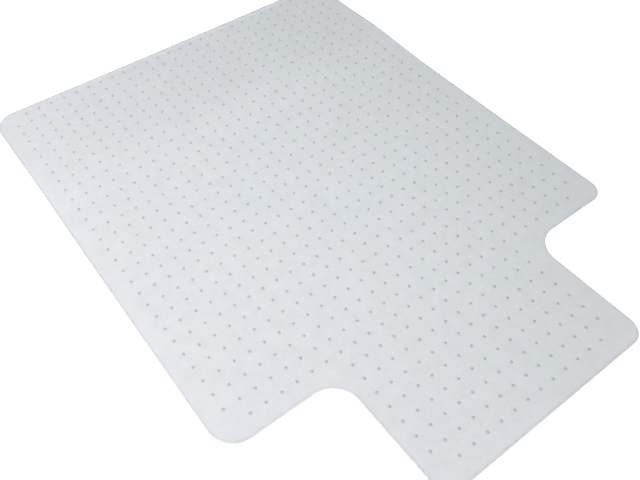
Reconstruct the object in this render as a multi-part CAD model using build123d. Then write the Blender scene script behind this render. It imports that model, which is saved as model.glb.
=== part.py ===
"""Chair mat with a lip, for carpet: a clear vinyl sheet that stands on rows of small gripper studs.

Units are millimetres. +Z is up and z = 0 is the plane of the stud tips. The origin is the middle of
the mat's outline. The lip points to -Y, under the desk, and the straight back edge is at +Y.

The real mat is one moulding. Here the sheet is one solid and each stud is a solid of its own, and the
studs of a row share a node, because they are identical and are set out a row at a time.
"""

import os

from build123d import *

INCH = 25.4

# Outline
MAT_WIDTH = 36 * INCH
MAT_LENGTH = 48 * INCH
LIP_WIDTH = 478.0
LIP_DEPTH = 10 * INCH
BODY_CORNER_RADIUS = 2 * INCH
FRONT_RIGHT_CORNER_RADIUS = 35.0
LIP_CORNER_RADIUS = 35.0
LIP_ROOT_RADIUS = 2 * INCH

# The lip isn't quite central: its middle is this far to the right of the outline's
LIP_OFFSET = 5.5

# Section through the edge
SHEET_THICKNESS = 2.2
BEVEL_WIDTH = 3.0
BEVEL_DROP = 1.0

# One gripper stud, a blunt cone that points down
STUD_HEIGHT = 4.8
STUD_ROOT_RADIUS = 2.7
STUD_TIP_RADIUS = 1.3
STUD_FLATS = 12

# Stud grid
COLUMN_PITCH = 30.8
ROW_PITCH = 31.35
BACK_EDGE_TO_FIRST_ROW = 20.0
BODY_ROWS = 30
BODY_COLUMNS = 28
LIP_ROWS = 8
LIP_COLUMNS = 14

BACK_EDGE_Y = MAT_LENGTH / 2
LIP_END_Y = -MAT_LENGTH / 2
SHOULDER_Y = LIP_END_Y + LIP_DEPTH


def corner_at(outline, x, y):
    """The outline's corner at a place."""
    return [vertex for vertex in outline.vertices() if (vertex.center() - Vector(x, y)).length < 0.01]


def mat_outline():
    """The mat from above: a rectangle whose front edge steps out to a narrower lip, all corners round."""
    right = MAT_WIDTH / 2
    lip_left = LIP_OFFSET - LIP_WIDTH / 2
    lip_right = LIP_OFFSET + LIP_WIDTH / 2
    body = Pos(0, (BACK_EDGE_Y + SHOULDER_Y) / 2) * Rectangle(MAT_WIDTH, BACK_EDGE_Y - SHOULDER_Y)
    lip = Pos(LIP_OFFSET, LIP_END_Y / 2) * Rectangle(LIP_WIDTH, -LIP_END_Y)
    outline = body + lip
    rounded_corners = [
        (-right, BACK_EDGE_Y, BODY_CORNER_RADIUS),
        (right, BACK_EDGE_Y, BODY_CORNER_RADIUS),
        (-right, SHOULDER_Y, BODY_CORNER_RADIUS),
        (right, SHOULDER_Y, FRONT_RIGHT_CORNER_RADIUS),
        (lip_left, SHOULDER_Y, LIP_ROOT_RADIUS),
        (lip_right, SHOULDER_Y, LIP_ROOT_RADIUS),
        (lip_left, LIP_END_Y, LIP_CORNER_RADIUS),
        (lip_right, LIP_END_Y, LIP_CORNER_RADIUS),
    ]
    for x, y, radius in rounded_corners:
        outline = fillet(corner_at(outline, x, y), radius)
    return outline


def mat_sheet():
    """The sheet that the chair rolls on, with its top edge bevelled all the way round."""
    sheet = Pos(0, 0, STUD_HEIGHT) * extrude(mat_outline(), SHEET_THICKNESS)
    top = sheet.faces().sort_by(Axis.Z)[-1]
    return chamfer(top.edges(), length=BEVEL_WIDTH, length2=BEVEL_DROP, reference=top)


def stud_ring(radius, z):
    """The corners of a stud's side at one height."""
    return [Vector(radius, 0, z).rotate(Axis.Z, 360 * n / STUD_FLATS) for n in range(STUD_FLATS)]


def gripper_stud():
    """A blunt cone from the underside of the sheet down to a flat tip.

    It is so small, and there are so many, that twelve flats stand for its round side.
    """
    tip = stud_ring(STUD_TIP_RADIUS, 0)
    root = stud_ring(STUD_ROOT_RADIUS, STUD_HEIGHT)
    flats = [[tip[n - 1], tip[n], root[n], root[n - 1]] for n in range(STUD_FLATS)]
    faces = [Face(Wire.make_polygon(corners)) for corners in [tip, root, *flats]]
    return Solid(Shell(faces))


def stud_row(columns, row_number, without_ends=False):
    """One row of studs across the mat, counted from the back edge. A row at a round corner has no end studs."""
    y = BACK_EDGE_Y - BACK_EDGE_TO_FIRST_ROW - row_number * ROW_PITCH
    first_x = -(columns - 1) / 2 * COLUMN_PITCH
    x_of_columns = [first_x + column * COLUMN_PITCH for column in range(columns)]
    if without_ends:
        x_of_columns = x_of_columns[1:-1]
    stud = gripper_stud()
    return Compound(children=[Pos(x, y) * stud for x in x_of_columns])


def body_stud_rows():
    """The rows under the main rectangle, by node name."""
    return {
        f"body_stud_row_{row + 1:02d}": stud_row(
            BODY_COLUMNS, row, without_ends=row in (0, BODY_ROWS - 1)
        )
        for row in range(BODY_ROWS)
    }


def lip_stud_rows():
    """The rows under the lip, by node name. They carry on the body's row pitch."""
    return {
        f"lip_stud_row_{row + 1:02d}": stud_row(
            LIP_COLUMNS, BODY_ROWS + row, without_ends=row == LIP_ROWS - 1
        )
        for row in range(LIP_ROWS)
    }


def main():
    os.makedirs("parts", exist_ok=True)
    nodes = {"mat_sheet": mat_sheet(), **body_stud_rows(), **lip_stud_rows()}
    for name, shape in nodes.items():
        export_step(shape, f"parts/{name}.step")


main()
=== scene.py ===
"""Looks of the chair mat: a frosted vinyl sheet with gripper studs, a studio and a camera. Metres, +Z up."""

import math

import bpy
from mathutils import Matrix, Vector
from mathutils.geometry import delaunay_2d_cdt
from mathutils.kdtree import KDTree


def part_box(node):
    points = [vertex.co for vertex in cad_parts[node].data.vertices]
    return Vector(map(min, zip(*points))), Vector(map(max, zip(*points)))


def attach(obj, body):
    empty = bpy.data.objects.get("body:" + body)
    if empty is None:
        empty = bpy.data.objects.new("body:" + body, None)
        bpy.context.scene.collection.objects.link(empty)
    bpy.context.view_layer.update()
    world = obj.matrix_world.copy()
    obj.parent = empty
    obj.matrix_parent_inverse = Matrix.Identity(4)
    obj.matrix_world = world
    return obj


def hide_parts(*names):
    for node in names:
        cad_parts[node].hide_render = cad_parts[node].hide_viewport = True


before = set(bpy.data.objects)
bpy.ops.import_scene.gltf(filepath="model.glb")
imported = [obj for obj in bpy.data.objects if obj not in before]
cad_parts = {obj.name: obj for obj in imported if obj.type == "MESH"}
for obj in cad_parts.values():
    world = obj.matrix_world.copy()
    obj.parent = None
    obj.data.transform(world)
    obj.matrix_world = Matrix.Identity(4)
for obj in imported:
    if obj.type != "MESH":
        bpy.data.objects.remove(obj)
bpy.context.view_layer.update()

MM = 0.001

# The outline's corner radii, which the CAD has too
BODY_CORNER_RADIUS = 50.8 * MM
FRONT_RIGHT_CORNER_RADIUS = 35 * MM
LIP_CORNER_RADIUS = 35 * MM
LIP_ROOT_RADIUS = 50.8 * MM

# The rolled top edge
BEVEL_WIDTH = 3 * MM
BEVEL_DROP = 1 * MM
BEVEL_STEPS = 4

# The sheet's finishes, as material indices, and how many strips from the foot of its edge are the cut's
TOP_FINISH, UNDERSIDE_FINISH, BEVEL_FINISH, CUT_FINISH = range(4)
CUT_STRIPS = 2

# How finely the sheet is meshed, and how near two points are when they count as one
OUTLINE_STEP = 5 * MM
ARC_STEP = math.radians(5)
GRID_STEP = 11 * MM
EDGE_CLEARANCE = 5 * MM
SAME_POINT = 1e-7

# The faint sink mark that moulding leaves in the top face over every stud
SINK_DEPTH = 0.22 * MM
SINK_RADIUS = 4.6 * MM
SINK_RINGS = 3
SINK_SIDES = 10
SINK_CLEARANCE = 1.4 * SINK_RADIUS

# One stud: a blunt cone with a rounded tip and a flared root that runs a little way into the sheet
STUD_TIP_RADIUS = 1.3 * MM
STUD_SHANK_RADIUS = 2.2 * MM
STUD_ROOT_RADIUS = 2.7 * MM
STUD_TIP_ROUNDING = 0.5 * MM
STUD_ROOT_FLARE = 0.8 * MM
STUD_OVERLAP = 0.3 * MM
STUD_SIDES = 16
STUD_ROUND_STEPS = 3

# From one stud of a row to the next, which the CAD has too
COLUMN_PITCH = 30.8 * MM

# The ripple of a mat that was shipped rolled up: how high each part of it is, where it lies and how wide
CUPPING = 1.7 * MM
SWELL = 6.5 * MM
SWELL_Y = 0.35
SWELL_WIDTH = 0.11
BACK_CURL = 2.2 * MM
BACK_CURL_TO_RIGHT = 3.9 * MM
BACK_CURL_WIDTH = 0.21
LIP_CURL = 4 * MM
LIP_CURL_X = -0.12
LIP_CURL_WIDTH = 0.35
LIP_CURL_LENGTH = 0.15

SHEET = "mat_sheet"
STUD_ROWS = sorted(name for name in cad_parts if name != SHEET)

sheet_low, sheet_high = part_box(SHEET)
HALF_WIDTH = sheet_high.x
HALF_LENGTH = sheet_high.y


# ---------------------------------------------------------------- the shape the mat lies in


def hill(position, centre, width):
    """A smooth hill, 1 at its centre."""
    return math.exp(-(((position - centre) / width) ** 2))


def lift(x, y):
    """How far the tips of the mat's studs stand off the floor at a point.

    The sides turn up a little, a low swell crosses the mat near its back, and the back edge's right part
    and the lip's end curl.
    """
    across = x / HALF_WIDTH
    cupping = CUPPING * across**2
    swell = SWELL * hill(y, SWELL_Y, SWELL_WIDTH)
    back_curl = (BACK_CURL + BACK_CURL_TO_RIGHT * across) * hill(y, HALF_LENGTH, BACK_CURL_WIDTH)
    lip_curl = LIP_CURL * hill(y, -HALF_LENGTH, LIP_CURL_LENGTH) * hill(x, LIP_CURL_X, LIP_CURL_WIDTH)
    return cupping + swell + back_curl + lip_curl


# ---------------------------------------------------------------- outline


def lip_sides():
    """Where the lip's left and right edges lie, from the CAD sheet."""
    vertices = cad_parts[SHEET].data.vertices
    lip_x = [v.co.x for v in vertices if v.co.y < -HALF_LENGTH + 2 * LIP_CORNER_RADIUS]
    return min(lip_x), max(lip_x)


def shoulder_y():
    """Where the body's front edge lies beside the lip, from the CAD sheet."""
    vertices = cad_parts[SHEET].data.vertices
    return min(v.co.y for v in vertices if abs(v.co.x) > HALF_WIDTH - 2 * BODY_CORNER_RADIUS)


def outline_corners():
    """The sharp corners of the outline and their radii, counterclockwise from the lip's left end."""
    lip_left, lip_right = lip_sides()
    shoulder = shoulder_y()
    return [
        (lip_left, -HALF_LENGTH, LIP_CORNER_RADIUS),
        (lip_right, -HALF_LENGTH, LIP_CORNER_RADIUS),
        (lip_right, shoulder, LIP_ROOT_RADIUS),
        (HALF_WIDTH, shoulder, FRONT_RIGHT_CORNER_RADIUS),
        (HALF_WIDTH, HALF_LENGTH, BODY_CORNER_RADIUS),
        (-HALF_WIDTH, HALF_LENGTH, BODY_CORNER_RADIUS),
        (-HALF_WIDTH, shoulder, BODY_CORNER_RADIUS),
        (lip_left, shoulder, LIP_ROOT_RADIUS),
    ]


def corner_arc(before, corner, after, radius):
    """Points round one right-angled corner, each with its normal into the mat."""
    into = (corner - before).normalized()
    out = (after - corner).normalized()
    side = 1 if into.cross(out) > 0 else -1
    to_centre = side * Vector((-into.y, into.x))
    centre = corner - into * radius + to_centre * radius
    steps = round(math.pi / 2 / ARC_STEP)
    points = []
    for n in range(steps + 1):
        angle = math.pi / 2 * n / steps
        spoke = into * math.sin(angle) - to_centre * math.cos(angle)
        points.append((centre + spoke * radius, -side * spoke))
    return points


def straight_run(start, end, normal):
    """Points between two arcs, without the ends."""
    steps = max(1, round((end - start).length / OUTLINE_STEP))
    return [(start.lerp(end, n / steps), normal) for n in range(1, steps)]


def outline():
    """The mat's outline as (point, normal into the mat), counterclockwise."""
    corners = outline_corners()
    arcs = []
    for n, (x, y, radius) in enumerate(corners):
        before = Vector(corners[n - 1][:2])
        after = Vector(corners[(n + 1) % len(corners)][:2])
        arcs.append(corner_arc(before, Vector((x, y)), after, radius))
    points = []
    for n, arc in enumerate(arcs):
        points += arc
        next_start = arcs[(n + 1) % len(arcs)][0][0]
        points += straight_run(arc[-1][0], next_start, arc[-1][1])
    return points


# ---------------------------------------------------------------- studs in plan


def stud_centres(row):
    """Where a row's studs stand, from its CAD node."""
    low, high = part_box(row)
    radius = (high.y - low.y) / 2
    first, last = low.x + radius, high.x - radius
    count = round((last - first) / COLUMN_PITCH) + 1
    y = (low.y + high.y) / 2
    return [Vector((first + n * COLUMN_PITCH, y)) for n in range(count)]


# ---------------------------------------------------------------- sheet mesh


def sink_points(centre):
    """(point, depth below the top face) of the sink mark over one stud."""
    points = [(centre, SINK_DEPTH)]
    for ring in range(1, SINK_RINGS + 1):
        share = ring / SINK_RINGS
        depth = SINK_DEPTH * (1 + math.cos(math.pi * share)) / 2
        for n in range(SINK_SIDES):
            angle = math.tau * (n + 0.5 * (ring % 2)) / SINK_SIDES
            spoke = Vector((math.cos(angle), math.sin(angle)))
            points.append((centre + spoke * SINK_RADIUS * share, depth))
    return points


def search_tree(points):
    """A tree that finds the nearest of some points in plan."""
    tree = KDTree(len(points))
    for n, point in enumerate(points):
        tree.insert((*point, 0), n)
    tree.balance()
    return tree


def grid_points(rim, studs):
    """A grid over the mat that keeps clear of its rim and of the sink marks."""
    rim_tree = search_tree([point for point, _ in rim])
    stud_tree = search_tree(studs)
    points = []
    columns = math.ceil(2 * HALF_WIDTH / GRID_STEP)
    rows = math.ceil(2 * HALF_LENGTH / GRID_STEP)
    for row in range(rows + 1):
        for column in range(columns + 1):
            x = HALF_WIDTH * (2 * (column + 0.5 * (row % 2)) / columns - 1)
            point = Vector((x, HALF_LENGTH * (2 * row / rows - 1)))
            _, nearest, _ = rim_tree.find((*point, 0))
            rim_point, normal = rim[nearest]
            _, _, to_stud = stud_tree.find((*point, 0))
            if (point - rim_point).dot(normal) > EDGE_CLEARANCE and to_stud > SINK_CLEARANCE:
                points.append(point)
    return points


def interior_mesh(rim, studs):
    """Triangles over all inside the rim: (points, sink depths, triangles), with the rim's points first."""
    points = [point for point, _ in rim]
    depths = [0.0] * len(points)
    for centre in studs:
        for point, depth in sink_points(centre):
            points.append(point)
            depths.append(depth)
    loose = grid_points(rim, studs)
    points += loose
    depths += [0.0] * len(loose)
    inside_only = 1
    made = delaunay_2d_cdt(points, [], [list(range(len(rim)))], inside_only, SAME_POINT)
    out_points, _, triangles, origins = made[:4]
    out_depths = [depths[origin[0]] if origin else 0.0 for origin in origins]
    return out_points, out_depths, triangles


def bevel_profile():
    """(inset, drop below the top face) across the rolled edge from the outside in, without its inner end."""
    profile = []
    for step in range(BEVEL_STEPS):
        angle = math.pi / 2 * step / BEVEL_STEPS
        profile.append((BEVEL_WIDTH * (1 - math.cos(angle)), BEVEL_DROP * (1 - math.sin(angle))))
    return profile


def strip(outer, inner):
    """Faces between two rings of vertices."""
    count = len(outer)
    return [(outer[n], outer[(n + 1) % count], inner[(n + 1) % count], inner[n]) for n in range(count)]


def sheet_mesh():
    """The sheet as one closed mesh with a rolled top edge, bent to the shape it lies in."""
    rim_outline = outline()
    inner_rim = [(point + normal * BEVEL_WIDTH, normal) for point, normal in rim_outline]
    studs = [centre for row in STUD_ROWS for centre in stud_centres(row)]
    points, depths, triangles = interior_mesh(inner_rim, studs)

    vertices = []

    def add(point, z):
        vertices.append((point.x, point.y, z + lift(point.x, point.y)))
        return len(vertices) - 1

    top = [add(point, sheet_high.z - depth) for point, depth in zip(points, depths)]
    bottom = [add(point, sheet_low.z) for point in points]
    rim_count = len(inner_rim)
    foot = [add(point, sheet_low.z) for point, _ in rim_outline]
    rings = [foot]
    for inset, drop in bevel_profile():
        rings.append([add(point + normal * inset, sheet_high.z - drop) for point, normal in rim_outline])
    rings.append(top[:rim_count])

    by_finish = {
        TOP_FINISH: [tuple(top[n] for n in triangle) for triangle in triangles],
        UNDERSIDE_FINISH: [tuple(bottom[n] for n in reversed(triangle)) for triangle in triangles],
        BEVEL_FINISH: [],
        CUT_FINISH: [],
    }
    by_finish[UNDERSIDE_FINISH] += strip(bottom[:rim_count], foot)
    for n, (outer, inner) in enumerate(zip(rings, rings[1:])):
        by_finish[CUT_FINISH if n < CUT_STRIPS else BEVEL_FINISH] += strip(outer, inner)
    mesh = bpy.data.meshes.new(SHEET + "_vinyl")
    mesh.from_pydata(vertices, [], [face for faces in by_finish.values() for face in faces])
    finishes = [finish for finish, faces in by_finish.items() for _ in faces]
    mesh.polygons.foreach_set("material_index", finishes)
    return mesh


# ---------------------------------------------------------------- stud mesh


def stud_profile():
    """(radius, height) from the middle of the tip to the middle of the hidden root face."""
    profile = [(0, 0)]
    quarter_turn = [math.pi / 2 * step / STUD_ROUND_STEPS for step in range(STUD_ROUND_STEPS + 1)]
    for angle in quarter_turn:
        radius = STUD_TIP_RADIUS - STUD_TIP_ROUNDING * (1 - math.sin(angle))
        profile.append((radius, STUD_TIP_ROUNDING * (1 - math.cos(angle))))
    for angle in quarter_turn:
        radius = STUD_ROOT_RADIUS - (STUD_ROOT_RADIUS - STUD_SHANK_RADIUS) * math.cos(angle)
        profile.append((radius, sheet_low.z - STUD_ROOT_FLARE * (1 - math.sin(angle))))
    buried = sheet_low.z + STUD_OVERLAP
    return profile + [(STUD_ROOT_RADIUS, buried), (0, buried)]


def stud_row_mesh(row):
    """All studs of one row, each a closed solid of revolution."""
    profile = stud_profile()
    vertices, faces = [], []
    for centre in stud_centres(row):
        rings = []
        for radius, z in profile:
            sides = STUD_SIDES if radius else 1
            ring = []
            for n in range(sides):
                angle = math.tau * n / STUD_SIDES
                x = centre.x + radius * math.cos(angle)
                y = centre.y + radius * math.sin(angle)
                ring.append(len(vertices))
                vertices.append((x, y, z + lift(centre.x, centre.y)))
            rings.append(ring)
        for lower, upper in zip(rings, rings[1:]):
            for n in range(STUD_SIDES):
                following = (n + 1) % STUD_SIDES
                corners = [
                    lower[n % len(lower)],
                    upper[n % len(upper)],
                    upper[following % len(upper)],
                    lower[following % len(lower)],
                ]
                faces.append(tuple(dict.fromkeys(reversed(corners))))
    mesh = bpy.data.meshes.new(row + "_studs")
    mesh.from_pydata(vertices, [], faces)
    return mesh


# ---------------------------------------------------------------- materials

VINYL_IOR = 1.5

# How dark the darkest fleck of the frosting is, next to the lightest
FROST_DARKEST = 0.7


def new_material(name):
    """A new node material and its Principled shader."""
    material = bpy.data.materials.new(name)
    material.use_nodes = True
    shader = material.node_tree.nodes["Principled BSDF"]
    return material, shader


def noise(material, scale, detail=2.0, roughness=0.5):
    """Noise in the mat's own coordinates, with scale cells to the metre."""
    tree = material.node_tree
    coordinates = tree.nodes.new("ShaderNodeTexCoord")
    texture = tree.nodes.new("ShaderNodeTexNoise")
    texture.inputs["Scale"].default_value = scale
    texture.inputs["Detail"].default_value = detail
    texture.inputs["Roughness"].default_value = roughness
    tree.links.new(coordinates.outputs["Object"], texture.inputs["Vector"])
    return texture.outputs["Fac"]


def colour_ramp(material, factor, stops):
    """Colours along a factor."""
    ramp = material.node_tree.nodes.new("ShaderNodeValToRGB")
    elements = ramp.color_ramp.elements
    while len(elements) < len(stops):
        elements.new(0.5)
    for element, (position, colour) in zip(elements, stops):
        element.position = position
        element.color = (*colour, 1)
    material.node_tree.links.new(factor, ramp.inputs["Fac"])
    return ramp.outputs["Color"]


def bump_from(material, height, strength, distance):
    """A bump that drives the shader's normal."""
    tree = material.node_tree
    node = tree.nodes.new("ShaderNodeBump")
    node.inputs["Strength"].default_value = strength
    node.inputs["Distance"].default_value = distance
    tree.links.new(height, node.inputs["Height"])
    tree.links.new(node.outputs["Normal"], tree.nodes["Principled BSDF"].inputs["Normal"])


def rough_between(material, factor, low, high):
    """Roughness that varies with a factor."""
    tree = material.node_tree
    node = tree.nodes.new("ShaderNodeMapRange")
    node.inputs["To Min"].default_value = low
    node.inputs["To Max"].default_value = high
    tree.links.new(factor, node.inputs["Value"])
    tree.links.new(node.outputs["Result"], tree.nodes["Principled BSDF"].inputs["Roughness"])


def multiplied(material, colour, shade):
    """One colour darkened by another."""
    tree = material.node_tree
    node = tree.nodes.new("ShaderNodeVectorMath")
    node.operation = "MULTIPLY"
    tree.links.new(colour, node.inputs[0])
    tree.links.new(shade, node.inputs[1])
    return node.outputs["Vector"]


def clouded_vinyl(name, brightness, alpha):
    """Frosted vinyl, faintly clouded blue-green and pink, with a fine mottle from its frosting."""
    material, shader = new_material(name)
    tint = colour_ramp(
        material,
        noise(material, 7, detail=5, roughness=0.65),
        [
            (0.4, [brightness * share for share in (0.957, 0.965, 1)]),
            (0.5, [brightness * share for share in (0.94, 0.967, 1)]),
            (0.6, [brightness * share for share in (0.928, 0.97, 1)]),
        ],
    )
    mottle = colour_ramp(
        material,
        noise(material, 40, detail=5, roughness=1),
        [(0, [FROST_DARKEST] * 3), (1, [1] * 3)],
    )
    material.node_tree.links.new(multiplied(material, tint, mottle), shader.inputs["Base Color"])
    rough_between(material, noise(material, 60), 0.34, 0.42)
    bump_from(material, noise(material, 420, detail=1), 0.12, 0.4 * MM)
    shader.inputs["IOR"].default_value = VINYL_IOR
    shader.inputs["Alpha"].default_value = alpha
    return material


def edge_vinyl(name, brightness):
    """The sheet's edge, thicker to look through: more opaque and less blue. A low brightness paints shade
    along the edge.
    """
    material, shader = new_material(name)
    streaks = noise(material, 90)
    tint = colour_ramp(
        material,
        streaks,
        [
            (0.35, [brightness * share for share in (0.94, 0.94, 0.955)]),
            (0.65, [brightness * share for share in (1.05, 1.05, 1.065)]),
        ],
    )
    material.node_tree.links.new(tint, shader.inputs["Base Color"])
    rough_between(material, streaks, 0.3, 0.45)
    shader.inputs["IOR"].default_value = VINYL_IOR
    shader.inputs["Alpha"].default_value = 0.9
    return material


def stud_vinyl():
    """The studs in a dark grey, which is painted shade: the real studs look dark because light turns away
    inside them and their tips shade the floor.
    """
    material, shader = new_material("stud_vinyl")
    mottle = noise(material, 350)
    # Painted shade: a dark grey for the studs' dark look, varied a little at random by the noise
    tint = colour_ramp(
        material,
        mottle,
        [(0.3, (0.315, 0.325, 0.33)), (0.7, (0.355, 0.365, 0.37))],
    )
    material.node_tree.links.new(tint, shader.inputs["Base Color"])
    rough_between(material, mottle, 0.35, 0.5)
    bump_from(material, noise(material, 900), 0.1, 0.2 * MM)
    shader.inputs["IOR"].default_value = VINYL_IOR
    return material


def floor_paint():
    """The plain pale floor. It glows a little, like a light table, so it stays white in the mat's shade."""
    material, shader = new_material("floor_paint")
    tint = colour_ramp(
        material,
        noise(material, 2),
        [(0.3, (0.90, 0.90, 0.90)), (0.7, (0.92, 0.92, 0.92))],
    )
    material.node_tree.links.new(tint, shader.inputs["Base Color"])
    shader.inputs["Roughness"].default_value = 0.9
    shader.inputs["Specular IOR Level"].default_value = 0.1
    shader.inputs["Emission Color"].default_value = (1, 1, 1, 1)
    shader.inputs["Emission Strength"].default_value = 0.6
    return material


# ---------------------------------------------------------------- pieces


def add_piece(name, mesh, materials, node):
    """Makes a smooth-shaded piece that stands for one CAD node and rides on the mat's only body."""
    for material in materials:
        mesh.materials.append(material)
    mesh.shade_smooth()
    piece = bpy.data.objects.new(name, mesh)
    bpy.context.scene.collection.objects.link(piece)
    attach(piece, "root")
    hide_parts(node)


def make_mat():
    """The sheet and its rows of studs."""
    finishes = [
        clouded_vinyl("top_vinyl", 0.57, 0.25),
        clouded_vinyl("underside_vinyl", 0.57, 0.85),
        # The bevel's darker colour is painted shade for the dark line along the rolled edge, partly the real
        # darker look of thick vinyl seen edge-on
        edge_vinyl("bevel_vinyl_painted_shade", 0.418),
        edge_vinyl("cut_vinyl", 0.63),
    ]
    add_piece("sheet", sheet_mesh(), finishes, SHEET)
    studs = stud_vinyl()
    for row in STUD_ROWS:
        add_piece(row.replace("_row_", "s_"), stud_row_mesh(row), [studs], row)


# ---------------------------------------------------------------- studio

FLOOR_SIDE = 60
FLOOR_GAP = 0.2 * MM
LIGHT_SIZE = 1.5
SKY_STRENGTH = 0.18
HORIZON_STRENGTH = 0.81

# Between these heights, as the sine of the elevation, the pale horizon fades into the sky
COVE_LOW = 0.1
COVE_HIGH = 0.35

# The camera's place in metres, its angles in degrees and its lens and sensor in millimetres
CAMERA_LOCATION = (-0.5949, -0.7570, 1.0308)
CAMERA_TILT = 39.039
CAMERA_ROLL = 0.237
CAMERA_TURN = -36.901
CAMERA_LENS = 38.647
CAMERA_SENSOR = 36
CAMERA_SHIFT = 0.0203


def make_floor():
    """A wide floor just under the stud tips."""
    half = FLOOR_SIDE / 2
    mesh = bpy.data.meshes.new("floor")
    corners = [(x, y, -FLOOR_GAP) for x, y in [(-half, -half), (half, -half), (half, half), (-half, half)]]
    mesh.from_pydata(corners, [], [(0, 1, 2, 3)])
    mesh.materials.append(floor_paint())
    floor = bpy.data.objects.new("floor", mesh)
    bpy.context.scene.collection.objects.link(floor)


def make_sky():
    """A dim sky over a pale horizon, like a studio's cove, which is as bright as the far floor."""
    world = bpy.data.worlds.new("studio")
    world.use_nodes = True
    tree = world.node_tree
    background = tree.nodes["Background"]
    background.inputs["Color"].default_value = (0.98, 1, 1, 1)
    direction = tree.nodes.new("ShaderNodeTexCoord")
    height = tree.nodes.new("ShaderNodeSeparateXYZ")
    strength = tree.nodes.new("ShaderNodeMapRange")
    strength.interpolation_type = "SMOOTHSTEP"
    strength.inputs["From Min"].default_value = COVE_LOW
    strength.inputs["From Max"].default_value = COVE_HIGH
    strength.inputs["To Min"].default_value = HORIZON_STRENGTH
    strength.inputs["To Max"].default_value = SKY_STRENGTH
    tree.links.new(direction.outputs["Generated"], height.inputs["Vector"])
    tree.links.new(height.outputs["Z"], strength.inputs["Value"])
    tree.links.new(strength.outputs["Result"], background.inputs["Strength"])
    bpy.context.scene.world = world


def add_area_light(name, location, power, colour):
    """A square soft light that points at the mat."""
    data = bpy.data.lights.new(name, "AREA")
    data.shape = "SQUARE"
    data.size = LIGHT_SIZE
    data.energy = power
    data.color = colour
    light = bpy.data.objects.new(name, data)
    light.location = location
    light.rotation_euler = Vector(location).to_track_quat("Z", "Y").to_euler()
    bpy.context.scene.collection.objects.link(light)


def make_lights():
    """A broad key light from the left and two fills, so the mat darkens to its right."""
    add_area_light("key", (-1.4, 0.3, 1.6), 66.5, (1, 0.965, 0.982))
    add_area_light("back_fill", (0.85, 0.85, 1.72), 14, (0.85, 1, 1))
    add_area_light("front_fill", (-0.1, -1.9, 1.2), 26, (0.98, 1, 1))


def make_camera():
    """The photograph's view: from the front left, looking down on the mat."""
    data = bpy.data.cameras.new("camera")
    data.lens = CAMERA_LENS
    data.sensor_width = CAMERA_SENSOR
    data.shift_x = CAMERA_SHIFT
    camera = bpy.data.objects.new("camera", data)
    camera.location = CAMERA_LOCATION
    camera.rotation_euler = [math.radians(angle) for angle in (CAMERA_TILT, CAMERA_ROLL, CAMERA_TURN)]
    bpy.context.scene.collection.objects.link(camera)
    bpy.context.scene.camera = camera


bpy.context.scene.view_settings.view_transform = "Standard"
make_mat()
make_floor()
make_sky()
make_lights()
make_camera()
